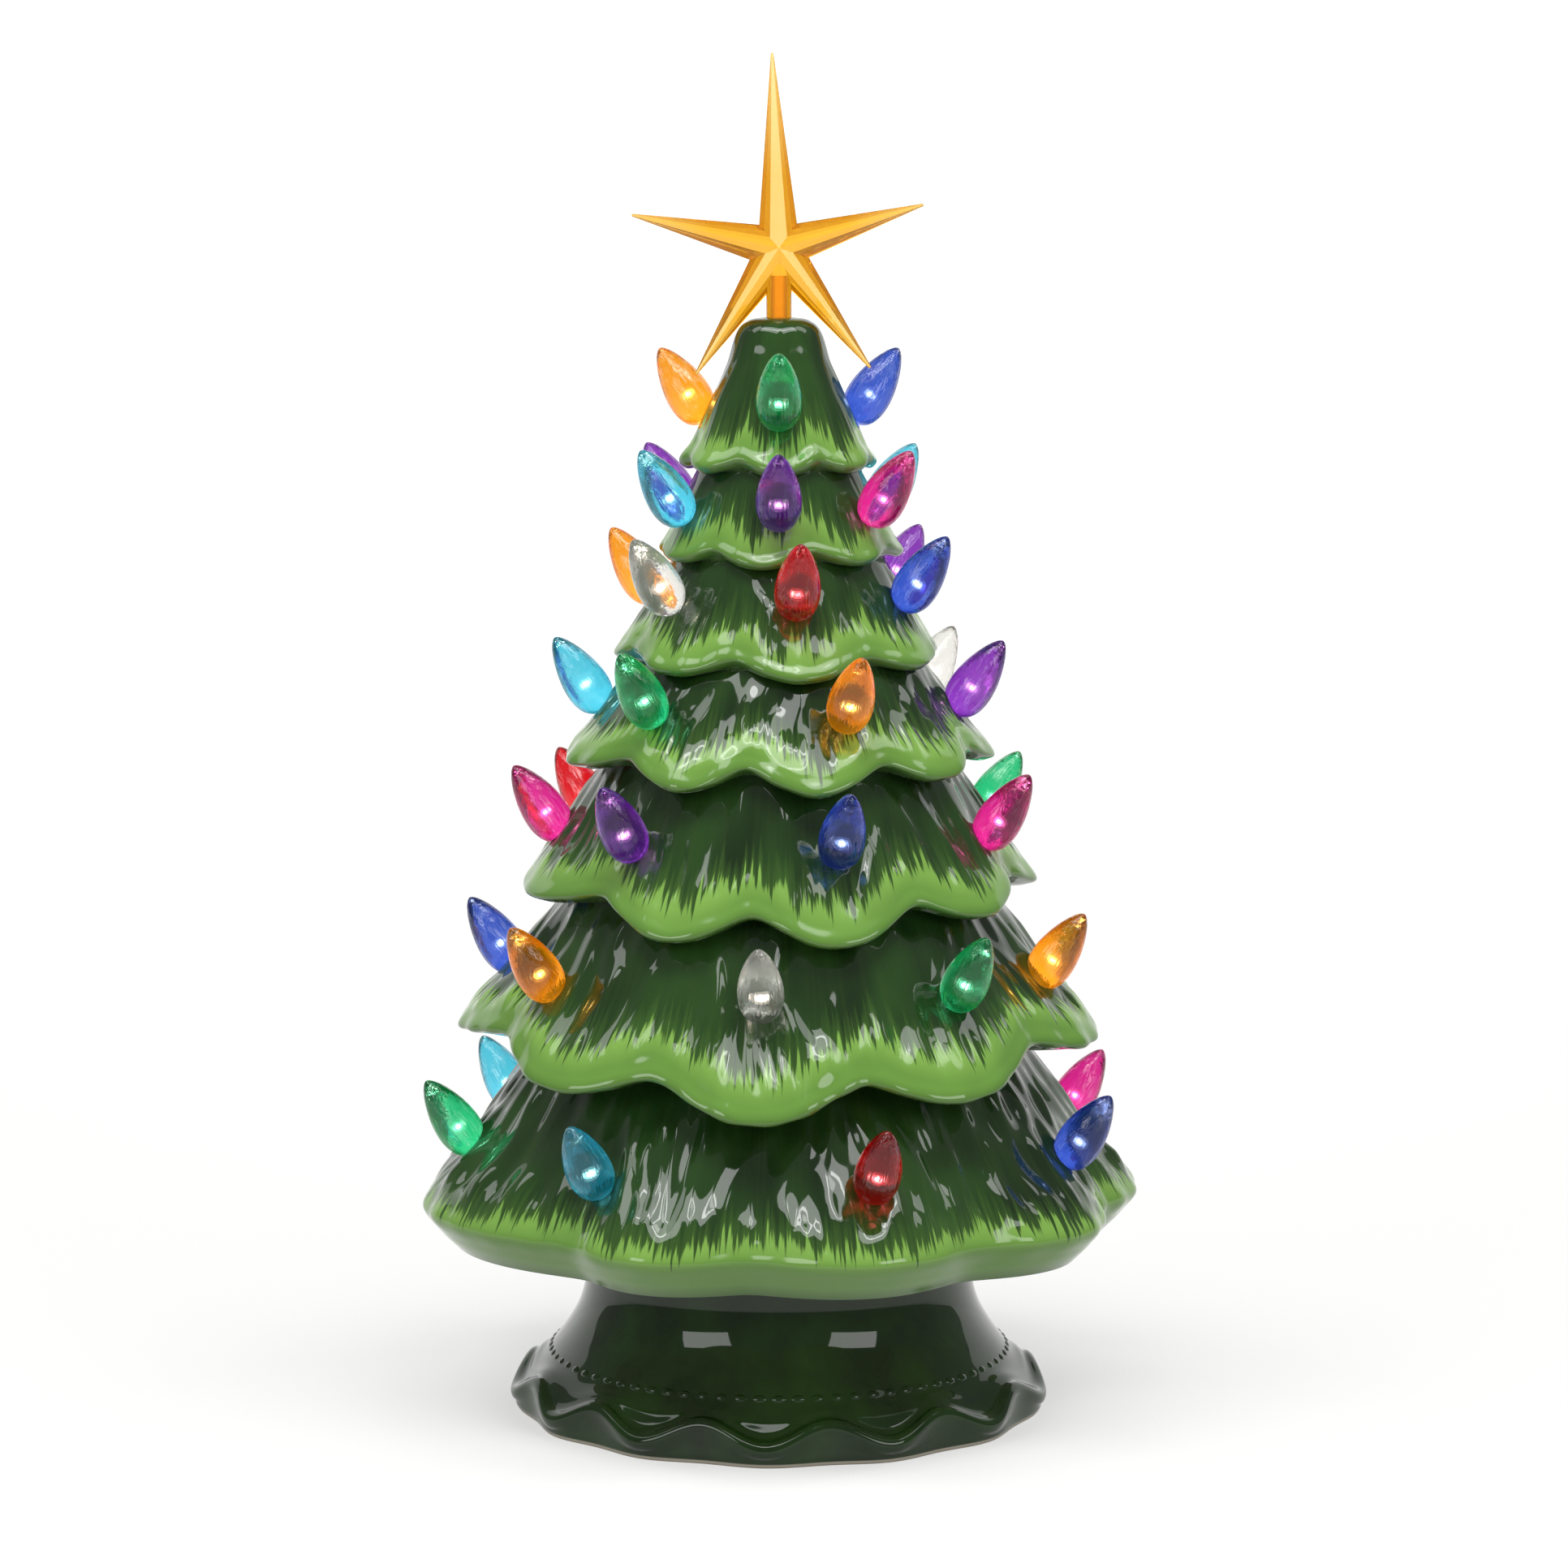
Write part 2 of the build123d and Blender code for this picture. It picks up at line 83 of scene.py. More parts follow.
def smoothCurve(knots, values, at):
    # cubic through the values at the knots, with slopes from the neighbours on both sides
    slopes = np.gradient(values, knots, axis=0)
    i = np.clip(np.searchsorted(knots, at) - 1, 0, len(knots) - 2)
    span = (knots[i + 1] - knots[i])[:, None]
    t = (at - knots[i])[:, None] / span
    a, b = values[i], values[i + 1]
    return (a + (b - a) * (3 * t ** 2 - 2 * t ** 3)
            + span * slopes[i] * (t - 2 * t ** 2 + t ** 3)
            + span * slopes[i + 1] * (t ** 3 - t ** 2))


def runAlong(profile):
    # length along the profile at each of its points
    steps = np.hypot(*np.diff(profile[:, :2], axis=0).T)
    return np.concatenate([[0], np.cumsum(steps)])


def ringPoints(radius, azimuth, height):
    # azimuth counts from the front, which is -Y
    return np.stack([radius * np.sin(azimuth), -radius * np.cos(azimuth), height + 0 * azimuth], axis=-1) * mm


def meshFromGrid(name, points, closed=False):
    # rows by columns by 3, columns run round and meet; closed joins the last row to the first
    rows, columns = points.shape[:2]
    index = np.arange(rows * columns).reshape(rows, columns)
    below = np.roll(index, -1, axis=0) if closed else index[1:]
    above = index if closed else index[:-1]
    quads = np.stack([above, below, np.roll(below, -1, axis=1), np.roll(above, -1, axis=1)], axis=-1)
    return meshFromFaces(name, points.reshape(-1, 3), quads.reshape(-1, 4))


def meshFromFaces(name, points, quads):
    mesh = bpy.data.meshes.new(name)
    mesh.vertices.add(len(points))
    mesh.vertices.foreach_set("co", points.astype(np.float32).ravel())
    mesh.loops.add(quads.size)
    mesh.loops.foreach_set("vertex_index", quads.astype(np.int32).ravel())
    mesh.polygons.add(len(quads))
    mesh.polygons.foreach_set("loop_start", np.arange(0, quads.size, 4, dtype=np.int32))
    mesh.polygons.foreach_set("use_smooth", np.ones(len(quads), dtype=bool))
    mesh.update(calc_edges=True)
    mesh.validate()
    piece = bpy.data.objects.new(name, mesh)
    bpy.context.scene.collection.objects.link(piece)
    return piece


def addAttribute(piece, name, vectors):
    attribute = piece.data.attributes.new(name, "FLOAT_VECTOR", "POINT")
    attribute.data.foreach_set("vector", vectors.astype(np.float32).ravel())


def finishPiece(piece, body, material, stands=()):
    piece.data.materials.append(material)
    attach(piece, body)
    if stands:
        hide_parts(*stands)


# Glazes of the tree

glazeLook = {
    "deepGreen": "#14290f",
    "darkGreen": "#28481c",
    "oliveGreen": "#3a4f20",
    # light glaze tones: the first is painted light on the band's upper part, the second is the glaze's own
    # middle tone, the third is painted shade under the hem and is also the tone of the thin wash past the
    # strokes
    "lipPaintedLight": "#7ba64a",
    "lipMiddle": "#66913d",
    "lipPaintedShadeAndWash": "#486c2c",
    # mm across and along one patch of each noise
    "stroke": (1.3, 26.0),
    "clump": (8.0, 60.0),
    "cloud": (30.0, 45.0),
    "streak": (2.6, 55.0),
    # the stretch of each noise that is used
    "strokeSpan": (0.3, 0.7),
    "cloudSpan": (0.35, 0.65),
    "streakSpan": (0.5, 0.75),
    "strokeReach": 10.0,       # mm that the strokes differ in height
    "clumpReach": 6.0,
    "strokeEdge": 1.1,         # mm over which a stroke's end fades, each way
    "washReach": 9.0,          # mm that a thin wash goes past the strokes
    "washCover": 0.5,
    "streakCover": 0.22,
    "paintEnd": (-2.4, -1.0),  # mm above the hem between which the light glaze begins
    "paintedShadeFade": (-2.0, 3.5),  # mm above the hem between which the painted shade under the hem gives way to the middle tone
    "paintedLightFade": (-7.0, -1.0),  # mm above the band's edge between which it goes to the painted light tone
    "darkRoughness": 0.05,
    "lipRoughness": 0.11,
    "index": 1.5,
}


def glazedEarthenware():
    # brushed glazes over cast earthenware: wet gloss, dark green with a pale fringe of upward strokes; the
    # fringe carries painted shade under the hem and painted light towards its upper edge
    look = glazeLook
    material = startMaterial("brushed_green_glaze_on_earthenware")
    brush = addNode(material, "ShaderNodeAttribute", {"attribute_name": "brush"})
    parts = addNode(material, "ShaderNodeSeparateXYZ", {}, {0: brush.outputs["Vector"]})
    up = parts.outputs["Z"]
    rise = addNode(material, "ShaderNodeAttribute", {"attribute_name": "rise"}).outputs["Fac"]

    # strokes are fine round the tier and long up it
    noises = {}
    for key in ("stroke", "clump", "cloud", "streak"):
        width, long = look[key]
        scaled = addNode(material, "ShaderNodeVectorMath", {"operation": "MULTIPLY"},
                         {0: brush.outputs["Vector"], 1: (1 / width, 1 / width, 1 / long)})
        noises[key] = addNode(material, "ShaderNodeTexNoise", {}, {
            "Vector": scaled.outputs[0], "Scale": 1.0, "Detail": 2.0, "Roughness": 0.6}).outputs[0]

    # how far the strokes reach up, single ones and whole clumps
    low, high = look["strokeSpan"]
    reaches = {}
    for key in ("stroke", "clump"):
        reach = look[f"{key}Reach"]
        reaches[key] = addNode(material, "ShaderNodeMapRange", {}, {
            0: noises[key], 1: low, 2: high, 3: -reach / 2, 4: reach / 2}).outputs[0]
    ragged = addNode(material, "ShaderNodeMath", {"operation": "ADD"},
                     {0: reaches["stroke"], 1: reaches["clump"]})
    level = addNode(material, "ShaderNodeMath", {"operation": "SUBTRACT"}, {0: up, 1: ragged.outputs[0]})
    paint = addNode(material, "ShaderNodeMapRange", {}, {
        0: level.outputs[0], 1: -look["strokeEdge"], 2: look["strokeEdge"], 3: 1.0, 4: 0.0})
    wash = addNode(material, "ShaderNodeMapRange", {}, {
        0: level.outputs[0], 1: 0.0, 2: look["washReach"], 3: look["washCover"], 4: 0.0})

    # dark coat: clouds of two greens under olive streaks
    low, high = look["cloudSpan"]
    shade = addNode(material, "ShaderNodeMapRange", {}, {0: noises["cloud"], 1: low, 2: high})
    darkMix = addNode(material, "ShaderNodeMix", {"data_type": "RGBA"}, {
        0: shade.outputs[0], 6: linear(look["deepGreen"]), 7: linear(look["darkGreen"])})
    low, high = look["streakSpan"]
    streaks = addNode(material, "ShaderNodeMapRange", {}, {
        0: noises["streak"], 1: low, 2: high, 4: look["streakCover"]})
    darkStreak = addNode(material, "ShaderNodeMix", {"data_type": "RGBA"}, {
        0: streaks.outputs[0], 6: darkMix.outputs[2], 7: linear(look["oliveGreen"])})

    # light coat: painted shade deepens it under the hem, and painted light makes it lightest towards the
    # band's edge
    low, high = look["paintedShadeFade"]
    under = addNode(material, "ShaderNodeMapRange", {}, {0: rise, 1: low, 2: high})
    lipWithPaintedShade = addNode(material, "ShaderNodeMix", {"data_type": "RGBA"}, {
        0: under.outputs[0], 6: linear(look["lipPaintedShadeAndWash"]), 7: linear(look["lipMiddle"])})
    low, high = look["paintedLightFade"]
    over = addNode(material, "ShaderNodeMapRange", {}, {0: up, 1: low, 2: high})
    lip = addNode(material, "ShaderNodeMix", {"data_type": "RGBA"}, {
        0: over.outputs[0], 6: lipWithPaintedShade.outputs[2], 7: linear(look["lipPaintedLight"])})

    # thin wash of the light glaze past the strokes, in the same tone as the painted shade under the hem
    washed = addNode(material, "ShaderNodeMix", {"data_type": "RGBA"}, {
        0: wash.outputs[0], 6: darkStreak.outputs[2], 7: linear(look["lipPaintedShadeAndWash"])})
    low, high = look["paintEnd"]
    shown = addNode(material, "ShaderNodeMapRange", {}, {0: rise, 1: low, 2: high})
    painted = addNode(material, "ShaderNodeMath", {"operation": "MULTIPLY"}, {
        0: paint.outputs[0], 1: shown.outputs[0]})
    colour = addNode(material, "ShaderNodeMix", {"data_type": "RGBA"}, {
        0: painted.outputs[0], 6: washed.outputs[2], 7: lip.outputs[2]})
    gloss = addNode(material, "ShaderNodeMapRange", {}, {
        0: painted.outputs[0], 3: look["darkRoughness"], 4: look["lipRoughness"]})
    return endMaterial(material, {
        "Base Color": colour.outputs[2], "Roughness": gloss.outputs[0], "IOR": look["index"]})


# Tree: seven skirts with lobed hems, in millimetres from the top down

treeShape = {
    "hemRadius": [27.4, 34.4, 46.0, 60.0, 72.2, 90.3, 101.5],
    "hemHeight": [267.5, 243.5, 215.0, 187.5, 151.0, 109.0, 60.6],
    # each skirt starts in the shade just under the hem above it
    "neckRadius": [9.5, 22.7, 29.1, 39.8, 48.5, 58.8, 67.3],
    "neckHeight": [304.7, 264.5, 240.5, 212.0, 184.5, 148.0, 106.0],
    "skirtSteps": (0, 0.3, 0.6),
    "skirtBell": 1.03,
    "lobeDepth": 0.08,
    "valleySoft": 0.3,
    "lobeDroop": [3.0, 3.8, 4.8, 6.5, 7.8, 8.2, 0.0],
    "droopSwing": 0.2,
    # mm that a hem hangs lower in front and behind than midway to the sides
    "frontSway": [0.0, 0.0, 0.5, 0.7, 2.5, 4.0, 0.0],
    "lobeValleys": [  # degrees from the front
        [-128, -77, -26, 26, 77, 128, 180],
        [-137, -86, -34, 17, 69, 120, 171],
        [-120, -68, -17, 35, 86, 138, 189],
        [-105, -48, -9, 31, 71, 111, 151, 203],
        [-104, -46, -6, 34, 74, 114, 154, 204],
        [-125, -64, -24, 16, 56, 96, 140, 187],
        [-104, -38, -5, 35, 75, 115, 160, 208]],
    "hemThickness": 6.2,
    "hemParts": 5,              # a hem takes at most one part in this many of its skirt
    "lip": (0.4, 0.8, 0.95),    # in and up from the hem in its thicknesses, and share of the lobes
    "under": (0.2, 0.35),       # in and down below the hem, as shares of the way to the next neck
    "footIn": (0.35, 0.85),     # the last tier under its hem, as shares of its foot's height
    "footUp": 0.5,
    "topHeight": 305.7,
    "topRound": 2.0,
    "starHole": 3.7,
    "holeDepth": 6.0,
    "holeRound": 0.6,
    "floorHeight": 50.2,
    "openingRadius": 49.0,
    "arris": 1.0,
    "wall": 5.0,
    "neckWall": 8.0,
    "flankWalls": 1.35,         # walls between a valley of the hem and the hollow
    "innerColumns": 288,
    "columnPitch": 0.9,
    "rows": 96,
    "bandHeight": [7.1, 7.6, 8.3, 9.1, 9.5, 11.5, 4.0],  # mm of light glaze above a hem
    "bandValley": 3.0,          # mm more of it in the valleys
    "lastPaint": 12.0,          # mm further down that the last tier is painted, to its floor
}
treeRelief = {
    # mm round the hem to one line, and depth in mm
    "flute": (14.0, 0.26),
    "ripple": (7.0, 0.1),
    "lump": (15.0, 0.3),
    "blade": (4.4, 0.12),
    "lip": (11.0, 0.3),
    # radians that the lines bend, fewest and most waves of the bend round the tier, lean down it
    "fluteBend": (2.2, 2, 9, 7.0),
    "rippleBend": (2.8, 2, 14, 10.0),
    "bladeBend": (2.5, 2, 16, 5.0),
    "rippleFade": (2, 12, 6.0), # waves and lean of the patches where the ripples come and go
    "rippleShare": (0.5, 1.5),  # middle and most of them
    "lumpLean": 13.0,
    "lipLean": 12.0,
    "tierShare": [0.35, 0.5, 0.7, 1.0, 1.3, 1.4, 1.6],  # of flutes, ripples and lumps on each tier
    "start": 0.3,               # share of the skirt over which they set in
    "end": (5.0, 8.0),          # mm above the hem where they end, and mm over which they fade
    "bladeAt": (12.0, 4.0),     # mm above the hem, and mm of spread
    "lipAt": (2.0, 5.0),
}


def skirtSections(tier):
    # radius, height and share of the lobes at sections down one skirt, round its hem and in under it
    s = treeShape
    hem, low = s["hemRadius"][tier], s["hemHeight"][tier]
    neck, high = s["neckRadius"][tier], s["neckHeight"][tier]
    drop = high - low
    edge = min(s["hemThickness"], drop / s["hemParts"])
    sections = []
    if tier == 0:
        hole, top = s["starHole"], s["topHeight"]
        sections += [(hole, top - s["holeDepth"], 0), (hole, top - s["holeRound"], 0),
                     (hole + s["holeRound"], top, 0), (neck - s["topRound"], top, 0)]
    for t in s["skirtSteps"]:
        sections.append((neck + (hem - neck) * t ** s["skirtBell"], high - drop * t, t))
    lipIn, lipUp, lipShare = s["lip"]
    sections += [(hem - lipIn * edge, low + lipUp * edge, lipShare), (hem, low, 1)]
    if tier + 1 < len(s["hemRadius"]):
        nextRadius, nextHeight = s["neckRadius"][tier + 1], s["neckHeight"][tier + 1]
        underIn, underDown = s["under"]
        sections += [(hem - underIn * (hem - nextRadius), low - underDown * (low - nextHeight), 1),
                     (nextRadius, nextHeight, 0)]
    else:
        foot = low - s["floorHeight"]
        sections += [(hem - s["footIn"][0] * foot, s["floorHeight"] + s["footUp"] * foot, 1),
                     (hem - s["footIn"][1] * foot, s["floorHeight"], 1)]
    return np.array(sections, float)


def wander(azimuth, down, few, many, lean):
    # smooth uneven field: a few sines whose azimuth counts are whole, so that it meets itself
    sines = 6
    field = np.zeros(np.broadcast(azimuth, down).shape)
    for _ in range(sines):
        count = rng.integers(few, many + 1)
        field += np.sin(count * azimuth + rng.uniform(0, 2 * np.pi) + rng.uniform(-lean, lean) * down)
    return field / math.sqrt(sines)


def bentLines(azimuth, down, count, bend):
    # a sine round the tier whose phase wanders
    far, few, many, lean = bend
    return np.sin(count * azimuth + far * wander(azimuth, down, few, many, lean))


def lobed(azimuth, radius, height, share, tier):
    # a round section pulled in between the lobes, whose tips hang lower, most in front and behind
    s = treeShape
    valleys = np.radians(s["lobeValleys"][tier])
    turn = valleys[0] + (azimuth - valleys[0]) % (2 * np.pi)
    lobe = np.interp(turn, np.append(valleys, valleys[0] + 2 * np.pi), np.arange(len(valleys) + 1))
    soft = s["valleySoft"]  # rounds the bottom of each valley
    swell = (np.sqrt(np.sin(np.pi * lobe) ** 2 + soft ** 2) - soft) / (math.sqrt(1 + soft ** 2) - soft)
    frontOrBack = np.cos(2 * azimuth)
    droop = s["lobeDroop"][tier] * swell * (1 - s["droopSwing"] + s["droopSwing"] * frontOrBack)
    return (radius * (1 - share * s["lobeDepth"] * (1 - swell)),
            height - share * (droop + s["frontSway"][tier] * frontOrBack), swell)


def skirtRelief(azimuth, down, up, tier):
    # flutes run down the skirt, uneven in pitch and lean; short blades stand over the light band
    r = treeRelief
    around = 2 * np.pi * treeShape["hemRadius"][tier]
    count = {key: max(3, round(around / r[key][0])) for key in ("flute", "ripple", "lump", "blade", "lip")}
    depth = {key: r[key][1] for key in count}
    flutes = bentLines(azimuth, down, count["flute"], r["fluteBend"])
    ripples = bentLines(azimuth, down, count["ripple"], r["rippleBend"])
    half, most = r["rippleShare"]
    ripples = ripples * np.clip(half + wander(azimuth, down, *r["rippleFade"]), 0, most)
    lumps = wander(azimuth, down, max(2, count["lump"] // 2), count["lump"] + 2, r["lumpLean"])
    blades = bentLines(azimuth, down, count["blade"], r["bladeBend"])
    lips = wander(azimuth, down, count["lip"] // 2, count["lip"], r["lipLean"])
    ends, fade = r["end"]
    share = r["tierShare"][tier] * np.clip(down / r["start"], 0, 1) * np.clip((up - ends) / fade, 0, 1)
    relief = (depth["flute"] * flutes + depth["ripple"] * ripples + depth["lump"] * lumps) * share
    for key, lines in (("blade", blades), ("lip", lips)):
        at, spread = r[f"{key}At"]
        relief = relief + depth[key] * lines * np.exp(-((up - at) / spread) ** 2)
    return relief


def skirtSkin(tier):
    # the lobed section carried down the skirt's profile, with the relief along the profile's outward side
    s = treeShape
    sections = skirtSections(tier)
    knots = runAlong(sections)
    run = np.linspace(0, knots[-1], s["rows"])
    profile = smoothCurve(knots, sections, run)
    hemRun = knots[-3]  # two sections go in under the hem
    neckRun = knots[4] if tier == 0 else 0.0  # the first tier starts with the star's hole
    columns = int(2 * np.pi * s["hemRadius"][tier] / s["columnPitch"])
    azimuth = np.arange(columns)[None, :] * 2 * np.pi / columns
    radius, height, share = (profile[:, k][:, None] for k in range(3))
    down = ((run - neckRun) / (hemRun - neckRun))[:, None]
    up = (hemRun - run)[:, None]
    relief = skirtRelief(azimuth, down, up, tier)

    slope = np.gradient(profile[:, :2], run, axis=0)
    outward = np.stack([-slope[:, 1], slope[:, 0]], axis=1)
    outward = outward / np.linalg.norm(outward, axis=1)[:, None]
    ringRadius, ringHeight, swell = lobed(azimuth, radius, height, share, tier)
    ringRadius = ringRadius + relief * outward[:, 0][:, None]
    ringHeight = ringHeight + relief * outward[:, 1][:, None]
    piece = meshFromGrid(f"tree_tier_{tier + 1}", ringPoints(ringRadius, azimuth, ringHeight))

    # the third number is how far a point is above the light band's edge
    middle = s["hemRadius"][tier]
    edge = s["bandHeight"][tier] + s["bandValley"] * (1 - swell)
    brush = [middle * np.sin(azimuth) + 0 * up, middle * np.cos(azimuth) + 0 * up, up - edge]
    addAttribute(piece, "brush", np.stack(brush, axis=-1))
    shift = s["lastPaint"] if tier + 1 == len(s["hemRadius"]) else 0.0
    rise = piece.data.attributes.new("rise", "FLOAT", "POINT")
    rise.data.foreach_set("value", (up + shift + 0 * azimuth).astype(np.float32).ravel())
    return piece


def treeInnerWall():
    # flat floor of the last tier, its round opening, and the hollow that follows necks and hems
    s = treeShape
    last = len(s["hemRadius"]) - 1
    floor, opening, arris = s["floorHeight"], s["openingRadius"], s["arris"]
    foot = s["hemHeight"][last] - floor
    floorTop = floor + s["wall"]
    valleys = [radius * (1 - s["lobeDepth"]) - s["flankWalls"] * s["wall"] for radius in s["hemRadius"]]
    profile = [(s["hemRadius"][last] - s["footIn"][1] * foot, floor, 1),
               (opening + arris, floor, 0), (opening, floor + arris, 0),
               (opening, floorTop, 0), (valleys[last] - s["wall"], floorTop, 0)]
    for tier in range(last, -1, -1):
        profile.append((valleys[tier], max(s["hemHeight"][tier], floorTop + arris), 0))
        if tier:
            profile.append((s["neckRadius"][tier] - s["neckWall"], s["neckHeight"][tier], 0))
    profile.append((s["neckRadius"][0] - s["wall"], s["topHeight"] - s["wall"], 0))
    profile.append((s["starHole"], s["topHeight"] - s["wall"] - arris, 0))
    profile = np.array(profile)
    azimuth = np.arange(s["innerColumns"])[None, :] * 2 * np.pi / s["innerColumns"]
    radius, height, share = (profile[:, k][:, None] for k in range(3))
    radius, height, _ = lobed(azimuth, radius, height, share, last)
    piece = meshFromGrid("tree_inner_wall", ringPoints(radius, azimuth, height))
    piece.data.polygons.foreach_set("use_smooth", np.zeros(len(piece.data.polygons), dtype=bool))
    return piece


clayLook = {
    "dark": "#d8cfbf",
    "light": "#efe8da",
    "cloudSize": 12.0,
    "cloudBump": 0.15,
    "bumpHeight": 0.5,
    "roughness": 0.8,
}


def bareEarthenware():
    # unglazed cast clay: dry off-white with faint clouds
    look = clayLook
    material = startMaterial("bisque_cast_earthenware")
    coords = addNode(material, "ShaderNodeTexCoord")
    clouds = addNode(material, "ShaderNodeTexNoise", {}, {
        "Vector": coords.outputs["Object"], "Scale": 1 / (look["cloudSize"] * mm), "Detail": 4.0})
    colour = addNode(material, "ShaderNodeMix", {"data_type": "RGBA"}, {
        0: clouds.outputs[0], 6: linear(look["dark"]), 7: linear(look["light"])})
    bump = addNode(material, "ShaderNodeBump", {}, {
        "Height": clouds.outputs[0], "Strength": look["cloudBump"], "Distance": look["bumpHeight"] * mm})
    return endMaterial(material, {
        "Base Color": colour.outputs[2], "Roughness": look["roughness"], "Normal": bump.outputs[0]})


greenGlaze = glazedEarthenware()
bareClay = bareEarthenware()
for tier in range(len(treeShape["hemRadius"])):
    finishPiece(skirtSkin(tier), "tree", greenGlaze, ("tree_shell",) if tier == 0 else ())
finishPiece(treeInnerWall(), "tree", bareClay)
print("tree skirts and inner wall made")


# Base: waisted neck, concave flare, bead row, ruffled skirt

baseShape = {
    "seat": 50.0,
    "shoulder": [(52.2, 0.0), (53.4, -0.4)],  # radius, and height over the seat
    "flare": [(53.8, 48.6), (54.0, 44.0), (54.5, 37.0), (56.4, 29.5), (60.2, 22.6), (63.6, 18.0)],
    # radius, height, and shares of the lip's swing and dip
    "ruffle": [(65.6, 15.6, 0.05, 0.1), (68.6, 12.9, 0.35, 0.5)],
    "lipRadius": 74.6,
    "lipHeight": 7.6,
    "lipSwing": 1.5,
    "lipDip": 2.7,
    # the same from the lip's own radius and height
    "lipRound": [(-3.2, 2.6, 0.8, 0.9), (-1.7, 2.2, 1, 1), (-0.5, 1.3, 1, 1),
                 (0, 0, 1, 1), (-0.3, -1.4, 1, 1)],
    "lipFoot": (-0.9, 0.5, 0.8, 0.5),         # height here is a share of the lip's
    "footRadius": 73.4,
    "footSwing": 1.0,
    "footRound": (0.7, 0.9),
    "footInner": 66.0,
    "footArris": 0.5,
    "hollow": 49.8,
    "hollowHeight": 24.0,
    "ceiling": 45.0,
    "collar": 48.2,
    "hole": 44.2,
    "collarTop": 57.0,
    "collarArris": 0.6,
    "waves": 13,
    "waveAzimuth": -2.9,  # degrees from the front to the first place where the rim hangs low
    "waveWander": 1.4,    # radians that the waves are uneven behind, none in front
    "wavePhase": 0.4,
    "columns": 572,
    "rows": 120,
    "hiddenSteps": 5,
    "beadRadius": 64.2,
    "beadHeight": 16.6,
    "beadSize": 1.5,
    "beadCount": 77,
    "beadWaist": 0.45,    # of the bead's size, between two beads
    "beadSunk": 0.3,
    "beadColumns": 12,
    "beadRows": 14,
}


def baseSkin():
    # closed profile of radius, height, swing and dip turned about the axis; the wave swings and dips it
    s = baseShape
    lip, rim, swing, dip = s["lipRadius"], s["lipHeight"], s["lipSwing"], s["lipDip"]
    outer = [(s["collar"], s["seat"], 0, 0)]
    outer += [(radius, s["seat"] + over, 0, 0) for radius, over in s["shoulder"]]
    outer += [(radius, height, 0, 0) for radius, height in s["flare"]]
    outer += [(radius, height, out * swing, low * dip) for radius, height, out, low in s["ruffle"]]
    outer += [(lip + away, rim + over, out * swing, low * dip) for away, over, out, low in s["lipRound"]]
    away, part, out, low = s["lipFoot"]
    roundIn, roundUp = s["footRound"]
    outer += [(lip + away, part * rim, out * swing, low * dip),
              (s["footRadius"], roundUp, s["footSwing"], 0),
              (s["footRadius"] - roundIn, 0, s["footSwing"], 0)]
    outer = np.array(outer, float)
    knots = runAlong(outer)
    outer = smoothCurve(knots, outer, np.linspace(0, knots[-1], s["rows"]))
    arris = s["collarArris"]
    inner = [(s["footInner"] + s["footArris"], 0), (s["footInner"], s["footArris"]),
             (s["hollow"], s["hollowHeight"]), (s["hollow"], s["ceiling"]), (s["hole"], s["ceiling"]),
             (s["hole"], s["collarTop"] - arris), (s["hole"] + arris, s["collarTop"]),
             (s["collar"] - arris, s["collarTop"]), (s["collar"], s["collarTop"] - arris)]
    inner = np.pad(np.array(inner, float), ((0, 0), (0, 2)))
    # the hidden stretches are cut into short steps, so that smooth shading keeps their corners
    follow = np.concatenate([inner[1:], outer[:1]])
    share = np.linspace(0, 1, s["hiddenSteps"], endpoint=False)[None, :, None]
    inner = (inner[:, None] + (follow - inner)[:, None] * share).reshape(-1, 4)
    profile = np.concatenate([outer, inner])
    azimuth = np.arange(s["columns"])[None, :] * 2 * np.pi / s["columns"]
    turn = s["waves"] * (azimuth - math.radians(s["waveAzimuth"]))
    behind = np.sin(azimuth / 2) ** 2
    wave = np.cos(turn + s["waveWander"] * np.sin(2 * azimuth + s["wavePhase"]) * behind)
    radius = profile[:, 0][:, None] + profile[:, 2][:, None] * wave
    height = profile[:, 1][:, None] - profile[:, 3][:, None] * wave
    return meshFromGrid("base_skin", ringPoints(radius, azimuth, height), closed=True)


def beadRow():
    # a ring sunk in the foot of the flare, whose tube swells and shrinks once for each bead
    s = baseShape
    columns, rows = s["beadColumns"] * s["beadCount"], s["beadRows"]
    azimuth = np.arange(columns)[None, :] * 2 * np.pi / columns
    around = np.arange(rows)[:, None] * 2 * np.pi / rows
    swell = np.abs(np.cos(s["beadCount"] * azimuth / 2))
    tube = s["beadSize"] * (s["beadWaist"] + (1 - s["beadWaist"]) * swell)
    sunk = s["beadSunk"] * s["beadSize"]
    radius = s["beadRadius"] - sunk + tube * np.cos(around)
    height = s["beadHeight"] - sunk + tube * np.sin(around)
    return meshFromGrid("base_bead_row", ringPoints(radius, azimuth, height)[::-1], closed=True)


baseLook = {
    "deepGreen": "#15290c",
    "darkGreen": "#1f3c12",
    "bareClay": "#cfc7b6",
    "cloudSize": 18.0,
    "cloudSpan": (0.35, 0.65),
    "rim": (0.9, 1.3),  # mm above the ground between which the glaze starts
    "roughness": 0.04,
    "clayRoughness": 0.7,
    "index": 1.42,
}


